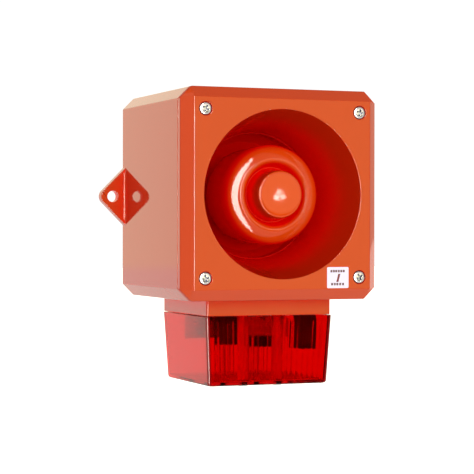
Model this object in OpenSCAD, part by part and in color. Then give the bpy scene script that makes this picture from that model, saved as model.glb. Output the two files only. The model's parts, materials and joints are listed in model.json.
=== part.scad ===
// Wall-mounted horn strobe: a deep enclosure, a re-entrant horn in its front cover and a flashing beacon below.
// Millimetres. The origin is midway between the two wall screws, on the wall; +Z is up and the front faces -Y.

/* [Enclosure] */
// Width and height of the square enclosure
box_w = 165; // [140:1:200]
// Depth of the base, from the wall to the cover seam
base_depth = 136.2; // [120:0.1:160]
// Depth of the cover, seam to front face
cover_depth = 13.9; // [10:0.1:20]
// Gap between base and cover at the seam
seam_gap = 0.4; // [0.3:0.1:1]
// Width of the bevel around the front face
bevel = 8.7; // [4:0.1:12]
// Length cut from each corner of the outline, along each side
corner_cut = 9.5; // [5:0.5:15]
// Wall thickness of the base
wall = 4; // [3:0.5:5]
// Distance of the corner screws from the centre, along each side
corner_screw_at = 64.8; // [60:0.1:70]

/* [Wall lugs] */
// Distance between the two wall screws
lug_spacing = 187; // [180:1:200]
// Diameter of the wall screw holes
lug_hole_d = 9.2; // [5:0.1:10]
// Thickness of the lugs
lug_t = 8; // [4:0.5:10]

/* [Horn] */
// Radius of the horn mouth at the front face
mouth_r = 66; // [50:0.5:70]
// Radius at the joint with the rear bowl
flare_end_r = 51.2; // [40:0.1:60]
// Distance of that joint from the wall
flare_end_z = 88.4; // [80:0.1:100]
// Wall thickness of the horn mouldings
horn_wall = 3; // [2:0.5:4]
// Radius of the sound throat
throat_r = 9; // [6:0.5:12]

/* [Beacon] */
// Width of the beacon at the enclosure
beacon_w = 106; // [90:0.1:120]
// Distance from the wall to the beacon's back
beacon_back = 20; // [10:0.1:40]
// Distance from the wall to the beacon's front
beacon_front = 121.8; // [100:0.1:140]
// Height of the beacon housing below the enclosure
neck_h = 12.7; // [8:0.1:20]
// Height of the lens
lens_h = 54.8; // [40:0.1:70]
// How far the lens stands out past the beacon housing at its front and sides
lens_lip = 0.9; // [0:0.1:2]
// How much each side of the lens leans in over its height
lens_taper = 3; // [0:0.1:6]
// Wall thickness of the lens
lens_wall = 2.6; // [2:0.1:4]
// Distance between ribs inside the lens front
rib_pitch = 4.9; // [3:0.1:8]

/* [Circuit] */
// Number of tone selection switches
tone_switches = 6; // [4:1:8]
// Number of wire terminals
terminals = 8; // [4:1:10]

/* [Hidden] */
$fn = 64;
eps = 0.01;
fit = 0.05;                                   // radial clearance of a shaft in its hole
half = box_w / 2;
inner_half = half - wall;
inner_cut = corner_cut - wall * (2 - sqrt(2));
back_t = 4;
cover_z = base_depth + seam_gap;
front_z = cover_z + cover_depth;
cover_t = 3.5;
rim_h = 5;                                    // straight part of the cover's side
corner_drop = 5.6;                            // how far the corner facets lean in
gasket_w = 2.2;
gasket_h = 2.2;
post_r = 7;
insert_r = 3.6;
insert_h = 12;
cover_screw_r = 2.5;
head_r = 4.9;
head_h = 2.8;
head_seat = 2.2;                              // how far the cover screw heads sit into the cover
counterbore_r = 5.35;
lug_tip_r = 7;
lug_tip_x = lug_spacing / 2 + 3;
entry_r = 10.15;                              // M20 cable entry
entry_z = 45;
entry_y = 26;
board_z = 14;
board_t = 1.6;
board_top = board_z + board_t;
standoff_x = 52;
standoff_low = -38;
standoff_high = 50;
red = "#d03018";
steel = "#b8bcc0";
dark = "#26282b";
brass_colour = "#c8a24a";

// ---- Shared shapes ----

// Stands a shape up from lying on its back: its own Z then points out of the wall, towards the front.
module stand_up() {
    rotate([90, 0, 0])
        children();
}

// Square outline with its corners cut off.
module cut_square(h, cut) {
    polygon([[h, h - cut], [h - cut, h], [cut - h, h], [-h, h - cut],
             [-h, cut - h], [cut - h, -h], [h - cut, -h], [h, cut - h]]);
}

// Rectangle with rounded corners, between two corner points.
module rounded_rect(x0, y0, x1, y1, r) {
    union() {
        translate([x0 + r, y0])
            square([x1 - x0 - 2 * r, y1 - y0]);
        translate([x0, y0 + r])
            square([x1 - x0, y1 - y0 - 2 * r]);
        for (x = [x0 + r, x1 - r], y = [y0 + r, y1 - r])
            translate([x, y])
                circle(r);
    }
}

// Ring or tube standing on the XY plane.
module tube(outer, inner, h) {
    difference() {
        cylinder(r = outer, h = h);
        translate([0, 0, -1])
            cylinder(r = inner, h = h + 2);
    }
}

// Screw pointing down its own -Z from the underside of its head at z = 0, with a crossed recess.
module pan_screw(shank_r, length, head_r, head_h) {
    recess = head_r * 0.55;
    difference() {
        union() {
            translate([0, 0, -length])
                cylinder(r = shank_r, h = length + eps);
            rotate_extrude()
                polygon([[0, 0], [head_r, 0], [head_r, head_h * 0.55], [head_r * 0.82, head_h * 0.9],
                         [head_r * 0.6, head_h], [0, head_h]]);
        }
        for (turn = [0, 90])
            rotate(turn)
                translate([-recess, -head_r * 0.1, head_h * 0.4])
                    cube([2 * recess, head_r * 0.2, head_h]);
    }
}

// The four corners where the cover is screwed down.
module at_cover_corners() {
    for (x = [-1, 1], y = [-1, 1])
        translate([x * corner_screw_at, y * corner_screw_at, 0])
            children();
}

module at_board_corners() {
    for (x = [-standoff_x, standoff_x], y = [standoff_low, standoff_high])
        translate([x, y, 0])
            children();
}

// ---- Base ----

module lug_outline() {
    flank = lug_tip_x + lug_tip_r * sqrt(2);
    touch = lug_tip_r / sqrt(2);
    root = half - 2;
    difference() {
        union() {
            translate([lug_tip_x, 0])
                circle(lug_tip_r);
            polygon([[root, root - flank], [lug_tip_x + touch, -touch],
                     [lug_tip_x + touch, touch], [root, flank - root]]);
        }
        translate([lug_spacing / 2, 0])
            circle(d = lug_hole_d);
    }
}

module corner_posts() {
    at_cover_corners()
        cylinder(r = post_r, h = base_depth);
    post_from_centre = corner_screw_at * sqrt(2);
    for (turn = [45:90:315])
        rotate(turn)
            translate([post_from_centre + post_r - 1, -1.5, 1])
                cube([9.5, 3, base_depth - 6]);
}

module base_shell() {
    difference() {
        linear_extrude(base_depth)
            cut_square(half, corner_cut);
        translate([0, 0, back_t])
            linear_extrude(base_depth)
                cut_square(inner_half, inner_cut);
        translate([0, 0, base_depth - gasket_h])
            linear_extrude(base_depth)
                cut_square(inner_half + gasket_w, inner_cut + gasket_w * (2 - sqrt(2)));
    }
}

housing_screw_x = 44;
housing_screws_z = [33, 110];
wire_slot = [50, 43];

module at_housing_screws() {
    for (x = [-housing_screw_x, housing_screw_x], z = housing_screws_z)
        translate([x, 0, z])
            children();
}

module base_housing() {
    color(red)
    stand_up()
        difference() {
            union() {
                base_shell();
                intersection() {
                    corner_posts();
                    linear_extrude(base_depth)
                        cut_square(half - 1, corner_cut);
                }
                linear_extrude(lug_t)
                    lug_outline();
                mirror([1, 0, 0])
                    linear_extrude(lug_t)
                        lug_outline();
                translate([0, 0, 1])
                    at_board_corners()
                        cylinder(r = 3.5, h = board_z - 1);
            }
            at_cover_corners()
                translate([0, 0, base_depth - insert_h])
                    cylinder(r = insert_r, h = insert_h + 1);
            at_cover_corners()
                translate([0, 0, base_depth - insert_h - 8])
                    cylinder(r = 2.9, h = 10);
            at_board_corners()
                translate([0, 0, back_t])
                    cylinder(r = 1.3, h = board_z);
            for (side = [-1, 1])
                translate([inner_half - 5, side * entry_y, entry_z])
                    rotate([0, 90, 0])
                        cylinder(r = entry_r, h = wall + 10);
            translate([-wire_slot[0] / 2, -half - 1, 50])
                cube([wire_slot[0], wall + 2, wire_slot[1]]);
            at_housing_screws()
                translate([0, -half - 1, 0])
                    rotate([-90, 0, 0])
                        cylinder(r = 2.1, h = wall + 2);
        }
}

module threaded_inserts() {
    color(brass_colour)
    stand_up()
        at_cover_corners()
            translate([0, 0, base_depth - insert_h])
                tube(insert_r, cover_screw_r + fit, insert_h);
}

module cover_gasket() {
    color(dark)
    stand_up()
        translate([0, 0, base_depth - gasket_h])
            linear_extrude(gasket_h)
                difference() {
                    cut_square(inner_half + gasket_w, inner_cut + gasket_w * (2 - sqrt(2)));
                    cut_square(inner_half, inner_cut);
                }
}

plug_seal_t = 1.8;

module stopping_plug() {
    color(dark)
    stand_up()
        translate([half, entry_y, entry_z])
            rotate([0, 90, 0])
                difference() {
                    union() {
                        translate([0, 0, plug_seal_t])
                            cylinder(r = 13.4, h = 4);
                        translate([0, 0, -9])
                            cylinder(r = entry_r - fit, h = plug_seal_t + 9 + eps);
                    }
                    translate([-9, -1.1, plug_seal_t + 2])
                        cube([18, 2.2, 3]);
                    translate([0, 0, -10])
                        cylinder(r = 7.5, h = 9);
                }
}

module stopping_plug_seal() {
    color(dark)
    stand_up()
        translate([half, entry_y, entry_z])
            rotate([0, 90, 0])
                tube(12.8, entry_r, plug_seal_t);
}

// ---- Main circuit board ----

module circuit_board() {
    color("#1f6b3a")
    stand_up()
        translate([0, 0, board_z])
            difference() {
                translate([-58, -44, 0])
                    cube([116, 100, board_t]);
                at_board_corners()
                    translate([0, 0, -1])
                        cylinder(r = 1.7, h = board_t + 2);
            }
}

module board_screws() {
    color(steel)
    stand_up()
        at_board_corners()
            translate([0, 0, board_top])
                pan_screw(1.25, 8, 2.8, 2);
}

terminal_pitch = 5;
terminal_x = 46;
terminal_low = -terminal_pitch * terminals / 2 + 2;

module terminal_block() {
    color("#2f8f4e")
    stand_up()
        translate([terminal_x, terminal_low, board_top])
            difference() {
                cube([11, terminal_pitch * terminals, 12]);
                for (i = [0:terminals - 1])
                    translate([5.5, terminal_pitch * (i + 0.5), 6])
                        cylinder(r = 1.9, h = 7);
                for (i = [0:terminals - 1])
                    translate([8, terminal_pitch * (i + 0.5) - 1.5, 1.5])
                        cube([4, 3, 3.2]);
            }
}

module terminal_screws() {
    color(steel)
    stand_up()
        for (i = [0:terminals - 1])
            translate([terminal_x + 5.5, terminal_low + terminal_pitch * (i + 0.5), board_top + 6])
                difference() {
                    cylinder(r = 1.8, h = 4);
                    translate([-3, -0.35, 3])
                        cube([6, 0.7, 2]);
                }
}

switch_pitch = 2.54;
switch_at = [-24, 40];
slider_throw = 1.4;
slider_w = 1.3;
slot_w = slider_w + 0.6;
slot_l = 3.6;

module tone_switch_body() {
    width = switch_pitch * tone_switches + 2;
    color("#b02020")
    stand_up()
        translate([switch_at[0], switch_at[1], board_top])
            difference() {
                translate([-width / 2, -4.9, 0])
                    cube([width, 9.8, 5.5]);
                for (i = [0:tone_switches - 1])
                    translate([(i - (tone_switches - 1) / 2) * switch_pitch - slot_w / 2, -slot_l / 2, 3.2])
                        cube([slot_w, slot_l, 3]);
            }
}

// One tone switch slider, numbered from the left, at its lower stop.
module tone_slider(number) {
    color("white")
    stand_up()
        translate([switch_at[0] + (number - 1 - (tone_switches - 1) / 2) * switch_pitch - slider_w / 2,
                   switch_at[1] - slot_l / 2 + 0.3, board_top + 3.5])
            cube([slider_w, slider_w, 2.5]);
}

volume_at = [8, 42];
knob_r = 2.6;

module volume_control_body() {
    color("#2a55a8")
    stand_up()
        translate([volume_at[0], volume_at[1], board_top])
            difference() {
                translate([-4.9, -4.9, 0])
                    cube([9.8, 9.8, 5]);
                translate([0, 0, 2.5])
                    cylinder(r = knob_r + fit, h = 3);
            }
}

module volume_knob() {
    color("white")
    stand_up()
        translate([volume_at[0], volume_at[1], board_top + 2.6])
            difference() {
                cylinder(r = knob_r, h = 3);
                translate([-2, -0.4, 1.8])
                    cube([4, 0.8, 2]);
                translate([-0.4, 0, 1.8])
                    cube([0.8, 2, 2]);
            }
}

module filter_capacitors() {
    color("#1d2c55")
    stand_up()
        for (y = [8, 24])
            translate([-48, y, board_top])
                difference() {
                    cylinder(r = 6.4, h = 22);
                    for (turn = [0, 90])
                        rotate(turn)
                            translate([-4, -0.2, 21.7])
                                cube([8, 0.4, 1]);
                }
}

module step_up_transformer() {
    color("#3a3d42")
    stand_up()
        translate([-48, -14, board_top])
            union() {
                for (x = [-8, 4])
                    translate([x, -8, 2])
                        cube([4, 16, 16]);
                translate([-9, -6.5, 0])
                    cube([18, 13, 2 + eps]);
                translate([-4 - eps, -8, 16])
                    cube([8 + 2 * eps, 16, 2]);
                translate([0, 0, 2])
                    cylinder(r = 6.2, h = 12);
            }
}

module driver_transistors() {
    color("#202020")
    stand_up()
        for (x = [28, 42])
            translate([x, 44, board_top])
                union() {
                    translate([-5, -2.2, 3])
                        cube([10, 4.4, 9]);
                    translate([-5, 0.9, 12 - eps])
                        cube([10, 1.3, 6]);
                    for (leg = [-2.5, 0, 2.5])
                        translate([leg - 0.4, -0.3, 0])
                            cube([0.8, 0.6, 3 + eps]);
                }
}

// A two-way connector is a shrouded socket on the board and a plug that pulls straight out of it.
module socket_shell() {
    union() {
        difference() {
            translate([-5, -4, 0])
                cube([10, 8, 9]);
            translate([-3.8, -2.8, 1.5])
                cube([7.6, 5.6, 9]);
        }
        for (x = [-1.25, 1.25])
            translate([x - 0.3, -0.3, 1])
                cube([0.6, 0.6, 6]);
    }
}

module plug_shell() {
    difference() {
        translate([-3.4, -2.4, 2])
            cube([6.8, 4.8, 11]);
        for (x = [-1.25, 1.25])
            translate([x - 0.6, -0.6, 1])
                cube([1.2, 1.2, 6.5]);
    }
}

horn_socket_at = [0, 27.3];
beacon_socket_at = [0, -37];

module horn_socket() {
    color("#e8e4d8")
    stand_up()
        translate([horn_socket_at[0], horn_socket_at[1], board_top])
            socket_shell();
}

module horn_plug() {
    color("#e8e4d8")
    stand_up()
        translate([horn_socket_at[0], horn_socket_at[1], board_top])
            plug_shell();
}

module beacon_socket() {
    color("#e8e4d8")
    stand_up()
        translate([beacon_socket_at[0], beacon_socket_at[1], board_top])
            socket_shell();
}

module beacon_plug() {
    color("#e8e4d8")
    stand_up()
        translate([beacon_socket_at[0], beacon_socket_at[1], board_top])
            plug_shell();
}

// ---- Beacon, fixed under the enclosure ----

beacon_half = beacon_w / 2;
beacon_corner_r = 2;
neck_wall = 3.5;
neck_top_t = 4;
neck_lip_gap = 0.4;
gasket_t = 1.2;
lens_screw_x = 14.9;
lens_screws_z = [41.2, 102];
lens_half = beacon_half + lens_lip;
lens_back = beacon_back + 1.5;
lens_front = beacon_front + lens_lip;
lens_top = neck_h + neck_lip_gap;
lens_bottom = lens_top + lens_h;
pillar_r = 4.5;
pillar_end = lens_bottom - lens_wall - 0.3;
lens_screw_r = 2;
lens_screw_l = 14;
lens_head_r = 4.5;
lens_head_sink = 1.2;                         // how far the lens screw heads sit into the lens
seal_t = 0.8;
housing_screw_r = 2;
housing_boss_r = 4.2;
housing_boss_h = 10;
board_screw_r = 1.25;
board_boss_r = 3;
strobe_board_w = 94;
strobe_board_d = 89;
strobe_board_back = 27;
strobe_board_drop = 7.5;
strobe_board_t = 1.6;
strobe_under = strobe_board_drop + strobe_board_t;

// Places a shape so that its X and Y are the beacon's width and depth, and its Z runs down from the enclosure.
module below_box() {
    translate([0, 0, -half])
        rotate([180, 0, 0])
            children();
}

module at_lens_screws() {
    for (x = [-lens_screw_x, lens_screw_x], z = lens_screws_z)
        translate([x, z, 0])
            children();
}

module at_beacon_board_screws() {
    for (x = [-29, 29], z = [45, 98])
        translate([x, z, 0])
            children();
}

module beacon_outline(inset, r) {
    rounded_rect(-beacon_half + inset, beacon_back + inset, beacon_half - inset, beacon_front - inset, r);
}

// Rings for the two gaskets: the first seals the neck to the enclosure and the second seals it to the lens.
module gasket_ring(outside, inside) {
    linear_extrude(gasket_t)
        difference() {
            beacon_outline(outside, 1);
            beacon_outline(inside, 1);
        }
}

module beacon_gasket_ring() {
    gasket_ring(2, 5);
}

module lens_gasket_ring() {
    translate([0, 0, neck_h - gasket_t])
        gasket_ring(1.5, neck_wall);
}

module beacon_housing() {
    color(red)
    below_box()
        difference() {
            union() {
                difference() {
                    linear_extrude(neck_h)
                        beacon_outline(0, beacon_corner_r);
                    translate([0, 0, neck_top_t])
                        linear_extrude(neck_h)
                            beacon_outline(neck_wall, 1);
                }
                at_lens_screws()
                    translate([0, 0, 1])
                        cylinder(r = pillar_r, h = pillar_end - 1);
                for (x = [-housing_screw_x, housing_screw_x], z = housing_screws_z)
                    translate([x, z, 1])
                        cylinder(r = housing_boss_r, h = housing_boss_h);
                at_beacon_board_screws()
                    translate([0, 0, 1])
                        cylinder(r = board_boss_r, h = strobe_board_drop - 1);
            }
            beacon_gasket_ring();
            lens_gasket_ring();
            translate([-wire_slot[0] / 2, 50, -1])
                cube([wire_slot[0], wire_slot[1], neck_top_t + 2]);
            at_lens_screws()
                translate([0, 0, pillar_end - lens_screw_l])
                    cylinder(r = lens_screw_r + fit, h = lens_screw_l + 1);
            for (x = [-housing_screw_x, housing_screw_x], z = housing_screws_z)
                translate([x, z, -1])
                    cylinder(r = housing_screw_r + fit, h = housing_boss_h + 0.5);
            at_beacon_board_screws()
                translate([0, 0, 2])
                    cylinder(r = board_screw_r + fit, h = strobe_board_drop);
        }
}

module beacon_gasket() {
    color(dark)
    below_box()
        beacon_gasket_ring();
}

module beacon_housing_screws() {
    color(steel)
    for (x = [-housing_screw_x, housing_screw_x], z = housing_screws_z)
        translate([x, -z, -half + wall])
            pan_screw(housing_screw_r, 12.5, 4, 2.6);
}

module beacon_board() {
    color("#1f6b3a")
    below_box()
        translate([0, 0, strobe_board_drop])
            difference() {
                translate([-strobe_board_w / 2, strobe_board_back, 0])
                    cube([strobe_board_w, strobe_board_d, strobe_board_t]);
                for (x = [-housing_screw_x, housing_screw_x], z = housing_screws_z)
                    translate([x, z, -1])
                        cylinder(r = housing_boss_r + 0.8, h = 4);
                at_lens_screws()
                    translate([0, 0, -1])
                        cylinder(r = pillar_r + 1.3, h = 4);
                at_beacon_board_screws()
                    translate([0, 0, -1])
                        cylinder(r = board_screw_r + 0.45, h = 4);
            }
}

module beacon_board_screws() {
    color(steel)
    below_box()
        at_beacon_board_screws()
            translate([0, 0, strobe_under])
                pan_screw(board_screw_r, 6, 2.8, 2);
}

module flash_capacitor() {
    color("#20242c")
    below_box()
        translate([-18, 72, strobe_under])
            union() {
                cylinder(r = 9.7, h = 28.4);
                translate([0, 0, 28.4 - eps])
                    cylinder(r = 8.2, h = 0.7);
            }
}

module trigger_coil() {
    color("#1c1d20")
    below_box()
        translate([40.7, 98, strobe_under])
            difference() {
                translate([-6.8, -7, 0])
                    cube([13.6, 14, 32]);
                translate([1, 8, 26.4])
                    rotate([90, 0, 0])
                        cylinder(r = 1.6, h = 3);
            }
}

tube_r = 2.4;
tube_leg_x = 7;
tube_at = [16, 72];
tube_leg_h = 20.4;
tray_side = 28;
tray_h = 3.5;
tray_t = 1.5;
back_plate = [88, 1.2, 25];
back_plate_out = 51;

module tube_legs(r, from, to) {
    for (side = [-1, 1])
        translate([tube_at[0] + side * tube_leg_x, tube_at[1], from])
            cylinder(r = r, h = to - from);
}

// U-shaped flash tube hanging below its reflector.
module bent_tube() {
    leg_end = strobe_under + tube_leg_h;
    union() {
        tube_legs(tube_r, strobe_under + 5, leg_end);
        translate([tube_at[0], tube_at[1], leg_end])
            rotate([-90, 0, 180])
                rotate([0, 0, 180])
                    rotate_extrude(angle = 180)
                        translate([tube_leg_x, 0])
                            circle(tube_r);
    }
}

module xenon_tube() {
    color("#dfe8ee")
    below_box()
        bent_tube();
}

// Sleeve that steadies the bend of the tube.
module tube_sleeve() {
    color(dark)
    below_box()
        difference() {
            translate([tube_at[0] - 10, tube_at[1] - 4.2, strobe_under + 23])
                cube([20, 8.4, 8.6]);
            bent_tube();
        }
}

module tube_electrodes() {
    color(steel)
    below_box()
        tube_legs(1.1, strobe_under, strobe_under + 5);
}

// Bright tray round the foot of the tube, with a plate behind it that throws the flash forwards.
module beacon_reflector() {
    tray_left = tube_at[0] - tray_side / 2;
    tray_back = tube_at[1] - tray_side / 2;
    inner_side = tray_side - 2 * tray_t;
    color("#e6e8ea")
    below_box()
        translate([0, 0, strobe_under])
            union() {
                difference() {
                    translate([tray_left, tray_back, 0])
                        cube([tray_side, tray_side, tray_h]);
                    translate([tray_left + tray_t, tray_back + tray_t, tray_t])
                        cube([inner_side, inner_side, tray_h]);
                    tube_legs(1.6, -1, 4);
                }
                translate([tray_left, back_plate_out, 0])
                    cube([tray_side, tray_back - back_plate_out + eps, tray_t]);
                translate([-back_plate[0] / 2, back_plate_out, 0])
                    cube(back_plate);
            }
}

// Wire of the beacon lead: from its plug on the main board, out through the slot and down to the beacon board.
lead_r = 0.9;
lead_out_z = 56;
lead_bend_r = 8;

module beacon_lead() {
    start = board_top + 13;
    turn_z = lead_out_z - lead_bend_r;
    drop_from = beacon_socket_at[1] - lead_bend_r;
    color("#a02020")
    stand_up()
        for (x = [-1.25, 1.25])
            translate([x, 0, 0])
                union() {
                    translate([0, beacon_socket_at[1], start])
                        cylinder(r = lead_r, h = turn_z - start);
                    translate([0, drop_from, turn_z])
                        rotate([0, -90, 0])
                            rotate_extrude(angle = 90)
                                translate([lead_bend_r, 0])
                                    circle(lead_r);
                    translate([0, drop_from, lead_out_z])
                        rotate([90, 0, 0])
                            cylinder(r = lead_r, h = half + strobe_board_drop + drop_from);
                }
}

// ---- Cover and horn ----

// Side profile of the cover: straight rim, then the bevel, as a slab across the whole width.
module bevel_slab(half_w, lean) {
    rotate([90, 0, 0])
        translate([0, 0, -box_w])
            linear_extrude(2 * box_w)
                polygon([[-half_w, 0], [half_w, 0], [half_w, rim_h], [half_w - lean, cover_depth],
                         [lean - half_w, cover_depth], [-half_w, rim_h]]);
}

// Outside of the cover, from the seam up.
module cover_block() {
    half_diagonal = (2 * half - corner_cut) / sqrt(2);
    intersection() {
        bevel_slab(half, bevel);
        rotate(90)
            bevel_slab(half, bevel);
        rotate(45)
            bevel_slab(half_diagonal, corner_drop);
        rotate(135)
            bevel_slab(half_diagonal, corner_drop);
    }
}

// Horn flare as a solid of revolution, from the bowl joint out to the mouth.
module flare_cone(extra, reach) {
    slope = (mouth_r - flare_end_r) / (front_z - flare_end_z);
    z0 = flare_end_z - reach;
    z1 = front_z + reach;
    translate([0, 0, z0])
        cylinder(r1 = flare_end_r - slope * reach + extra, r2 = mouth_r + slope * reach + extra, h = z1 - z0);
}

flange_r = 62;
flange_t = 4;
flange_screw_r = 58.2;
flange_screw_turns = [45, 135, 225, 315];

module at_flange_screws() {
    for (turn = flange_screw_turns)
        rotate(turn)
            translate([flange_screw_r, 0, 0])
                children();
}

cover_skirt_t = 3.4;
cover_ledge = 1.5;
cover_post_r = 6.2;
flange_post_r = 4;
flange_post_h = 11;

module front_cover() {
    color(red)
    stand_up()
        difference() {
            union() {
                translate([0, 0, cover_z])
                    difference() {
                        cover_block();
                        translate([0, 0, -1])
                            linear_extrude(rim_h + 1)
                                cut_square(half - cover_skirt_t, corner_cut - 2);
                        translate([0, 0, rim_h - eps])
                            linear_extrude(cover_depth - cover_t - rim_h + eps)
                                cut_square(half - cover_skirt_t - (bevel - cover_t) - cover_ledge, 2);
                    }
                intersection() {
                    flare_cone(horn_wall, 0);
                    translate([0, 0, flare_end_z])
                        cylinder(r = mouth_r + 10, h = front_z - flare_end_z - 1);
                }
                translate([0, 0, flare_end_z])
                    cylinder(r = flange_r, h = flange_t);
                at_flange_screws()
                    translate([0, 0, flare_end_z + 1])
                        cylinder(r = flange_post_r, h = flange_post_h);
                at_cover_corners()
                    translate([0, 0, cover_z])
                        cylinder(r = cover_post_r, h = cover_depth - 1);
            }
            flare_cone(0, 1);
            at_cover_corners()
                translate([0, 0, cover_z - 1])
                    cylinder(r = cover_screw_r + 0.25, h = cover_depth + 5);
            at_cover_corners()
                translate([0, 0, front_z - head_seat])
                    cylinder(r = counterbore_r, h = head_seat + 1);
            at_flange_screws()
                translate([0, 0, flare_end_z - 1])
                    cylinder(r = 1.8, h = flange_post_h - 1);
        }
}

cover_screw_turns = [12, 64, 31, 78];

module cover_screws() {
    corners = [[-1, -1], [-1, 1], [1, -1], [1, 1]];
    color(steel)
    stand_up()
        for (i = [0:3])
            translate([corners[i][0] * corner_screw_at, corners[i][1] * corner_screw_at, front_z - head_seat])
                rotate(cover_screw_turns[i])
                    pan_screw(cover_screw_r, 25, head_r, head_h);
}

label_w = 18.5;
label_h = 16.5;
label_at = [46, -65];

module cover_label() {
    color("white")
    stand_up()
        translate([label_at[0] - label_w / 2, label_at[1] - label_h / 2, front_z])
            linear_extrude(0.15)
                rounded_rect(0, 0, label_w, label_h, 1);
}

bowl_floor_z = 66;
bowl_top_z = flare_end_z - 1;
bowl_r = flare_end_r - 0.8;
throat_end_z = 113;
bell_leg_at = 33.5;
bell_leg_turns = [0, 120, 240];

module at_bell_legs() {
    for (turn = bell_leg_turns)
        rotate(turn)
            translate([bell_leg_at, 0, 0])
                children();
}

module bowl_hollow() {
    floor_z = bowl_floor_z + horn_wall;
    rotate_extrude()
        polygon([[0, floor_z], [bowl_r - 6, floor_z], [bowl_r, floor_z + 6], [bowl_r, bowl_top_z + 1],
                 [0, bowl_top_z + 1]]);
}

module throat_outside() {
    translate([0, 0, bowl_floor_z])
        cylinder(r1 = throat_r + 8, r2 = throat_r + 2.2, h = throat_end_z - bowl_floor_z);
}

// Rear bowl of the horn with the throat that leads the sound forward.
module horn_bowl() {
    color(red)
    stand_up()
        difference() {
            union() {
                translate([0, 0, bowl_floor_z])
                    cylinder(r = bowl_r + horn_wall, h = bowl_top_z - bowl_floor_z);
                translate([0, 0, bowl_top_z - flange_t])
                    cylinder(r = flange_r, h = flange_t);
                throat_outside();
            }
            difference() {
                bowl_hollow();
                throat_outside();
            }
            translate([0, 0, bowl_floor_z - 1])
                cylinder(r = throat_r, h = bowl_top_z);
            at_bell_legs()
                translate([0, 0, bowl_floor_z - 1])
                    cylinder(r = 1.7, h = 10);
            at_flange_screws()
                translate([0, 0, bowl_top_z - flange_t - 1])
                    cylinder(r = 2, h = 10);
            at_driver_screws()
                translate([0, 0, bowl_floor_z - 1])
                    cylinder(r = 1.6, h = 3.4);
        }
}

module horn_gasket() {
    color(dark)
    stand_up()
        translate([0, 0, bowl_top_z])
            difference() {
                tube(flange_r - 0.6, bowl_r + 1.6, flare_end_z - bowl_top_z);
                at_flange_screws()
                    translate([0, 0, -1])
                        cylinder(r = 2, h = 4);
            }
}

module horn_flange_screws() {
    color(steel)
    stand_up()
        at_flange_screws()
            translate([0, 0, bowl_top_z - flange_t])
                mirror([0, 0, 1])
                    pan_screw(1.75, 11, 3.4, 2.4);
}

// Outline of the bell as [radius, distance from the wall], from the middle of its front round to the inside.
bell_disc = [[0, 144.6], [10, 144.5], [14, 144.4], [16.4, 144], [17.8, 143.1], [18.4, 141.6], [18.5, 139]];
bell_groove = [[18.9, 131], [19.4, 128.6], [20.2, 127.8], [20.8, 128], [22, 129.1], [23.5, 130.7]];
bell_lip = [[25, 132], [26.5, 132.8], [27.8, 133.1], [28.8, 132.95], [29.6, 132.6], [31, 131.95], [33, 130.9],
            [35, 129.7], [36.8, 128.3], [38.2, 126.6], [39.1, 124.6], [39.6, 122]];
bell_side = [[39.8, 118], [39.5, 112], [38.9, 100], [38.2, 81]];
bell_inside = [[35.2, 81], [36.7, 118], [35.8, 122.6], [33.6, 126], [30, 128], [25, 127], [22, 124.2],
               [16.8, 124.8], [15.4, 128], [14.2, 139], [10, 140.6], [0, 141]];

// Closed front of the horn: it turns the sound back, and the bowl then turns it forward round its outside.
module horn_bell() {
    color(red)
    stand_up()
        union() {
            rotate_extrude($fn = 128)
                polygon(concat(bell_disc, bell_groove, bell_lip, bell_side, bell_inside));
            at_bell_legs()
                translate([0, 0, bowl_floor_z + horn_wall])
                    difference() {
                        cylinder(r = 3.2, h = 20);
                        translate([0, 0, -1])
                            cylinder(r = 1.5 + fit, h = 10);
                    }
        }
}

module bell_screws() {
    color(steel)
    stand_up()
        at_bell_legs()
            translate([0, 0, bowl_floor_z])
                mirror([0, 0, 1])
                    pan_screw(1.5, 10, 3, 2.2);
}

// Compression driver behind the bowl, from front to back.
ring_z = 61;
top_plate_z = 56;
magnet_z = 44;
yoke_z = 39;
driver_r = 30;
pole_r = 12.4;
coil_in = 12.8;
coil_out = 13.5;
plate_hole_r = 13.9;
driver_screw_at = 26.5;

module at_driver_screws() {
    for (turn = [45:90:315])
        rotate(turn)
            translate([driver_screw_at, 0, 0])
                children();
}

module driver_holes(r) {
    at_driver_screws()
        translate([0, 0, -1])
            cylinder(r = r, h = 20);
}

module driver_ring() {
    color(dark)
    stand_up()
        translate([0, 0, ring_z])
            difference() {
                tube(driver_r, 21.5, bowl_floor_z - ring_z);
                driver_holes(1.8);
            }
}

module driver_top_plate() {
    color(steel)
    stand_up()
        translate([0, 0, top_plate_z])
            difference() {
                tube(driver_r, plate_hole_r, ring_z - top_plate_z - 0.6);
                driver_holes(1.8);
            }
}

module driver_magnet() {
    color("#34363a")
    stand_up()
        translate([0, 0, magnet_z])
            tube(24, 17, top_plate_z - magnet_z);
}

module driver_yoke() {
    color(steel)
    stand_up()
        translate([0, 0, yoke_z])
            union() {
                cylinder(r = driver_r - 5, h = magnet_z - yoke_z);
                cylinder(r = pole_r, h = ring_z - yoke_z - 0.6);
            }
}

module driver_screws() {
    color(steel)
    stand_up()
        at_driver_screws()
            translate([0, 0, top_plate_z])
                mirror([0, 0, 1])
                    pan_screw(1.55, 12, 2.4, 2);
}

surround_in = 17.3;
diaphragm_t = 0.4;

module diaphragm_surround() {
    color("#7a5a2c")
    stand_up()
        translate([0, 0, ring_z - 0.6])
            difference() {
                union() {
                    tube(driver_r - 0.4, 20, 0.6);
                    tube(20 + eps, surround_in, 0.4);
                }
                driver_holes(1.8);
            }
}

module diaphragm() {
    dome_r = 17;
    rise = 3;
    sphere_r = (dome_r * dome_r + rise * rise) / (2 * rise);
    color("#c9ccd0")
    stand_up()
        translate([0, 0, ring_z - 0.2])
            intersection() {
                difference() {
                    translate([0, 0, rise - sphere_r])
                        sphere(sphere_r, $fn = 128);
                    translate([0, 0, rise - sphere_r])
                        sphere(sphere_r - diaphragm_t, $fn = 128);
                }
                cylinder(r = dome_r, h = rise + 1);
            }
}

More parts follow.
